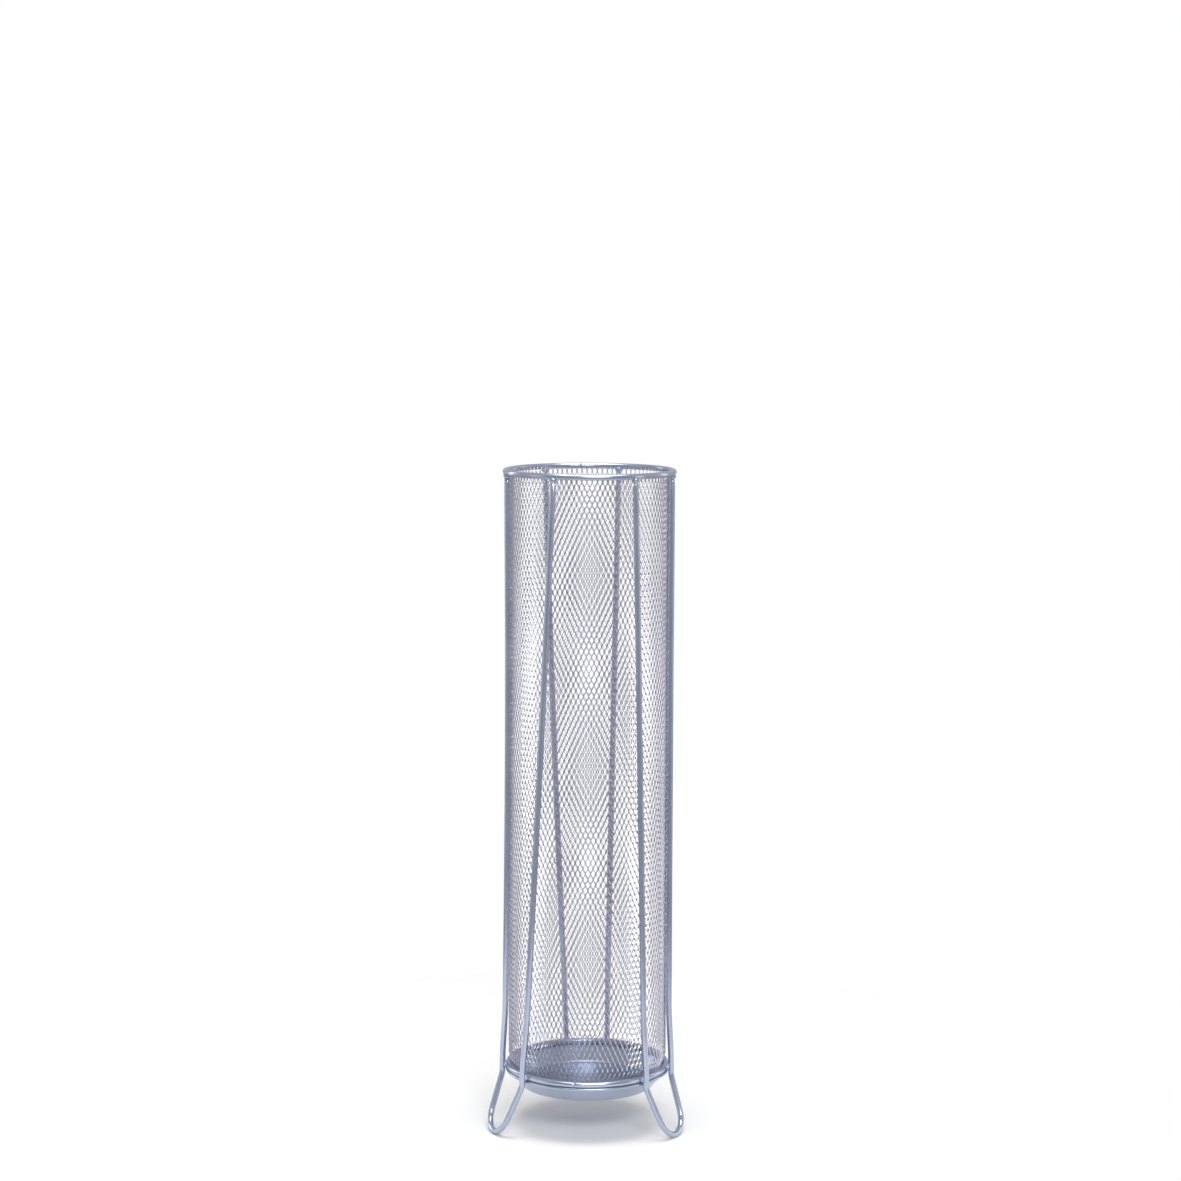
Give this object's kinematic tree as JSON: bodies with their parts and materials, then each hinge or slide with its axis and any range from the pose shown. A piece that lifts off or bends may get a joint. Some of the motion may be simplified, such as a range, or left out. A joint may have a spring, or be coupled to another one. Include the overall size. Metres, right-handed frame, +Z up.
{
  "type": "umbrella stand",
  "caption": "Slim round umbrella stand: raised-mesh steel sleeve between wire rings, on splayed hairpin wire legs, with a pressed drip pan.",
  "frame": {"origin": "middle of the stand's footprint box, at floor level", "axes": "+Z up along the sleeve, +X to the viewer's right, -Y towards the viewer, midway between the two front legs' side of the stand"},
  "size_m": [0.1666, 0.1616, 0.5595],
  "materials": {
    "painted_wire": "silver-grey metallic paint on drawn steel wire, semi-gloss",
    "painted_mesh": "silver-grey metallic paint on raised expanded steel mesh, semi-gloss",
    "painted_pan": "silver-grey metallic paint on pressed sheet steel, semi-gloss"
  },
  "bodies": {
    "root": {"top_ring": "painted_wire", "base_ring": "painted_wire", "mesh_sleeve": "painted_mesh", "left_leg": "painted_wire", "right_leg": "painted_wire", "rear_leg": "painted_wire", "drip_pan": "painted_pan"}
  },
  "joints": []
}
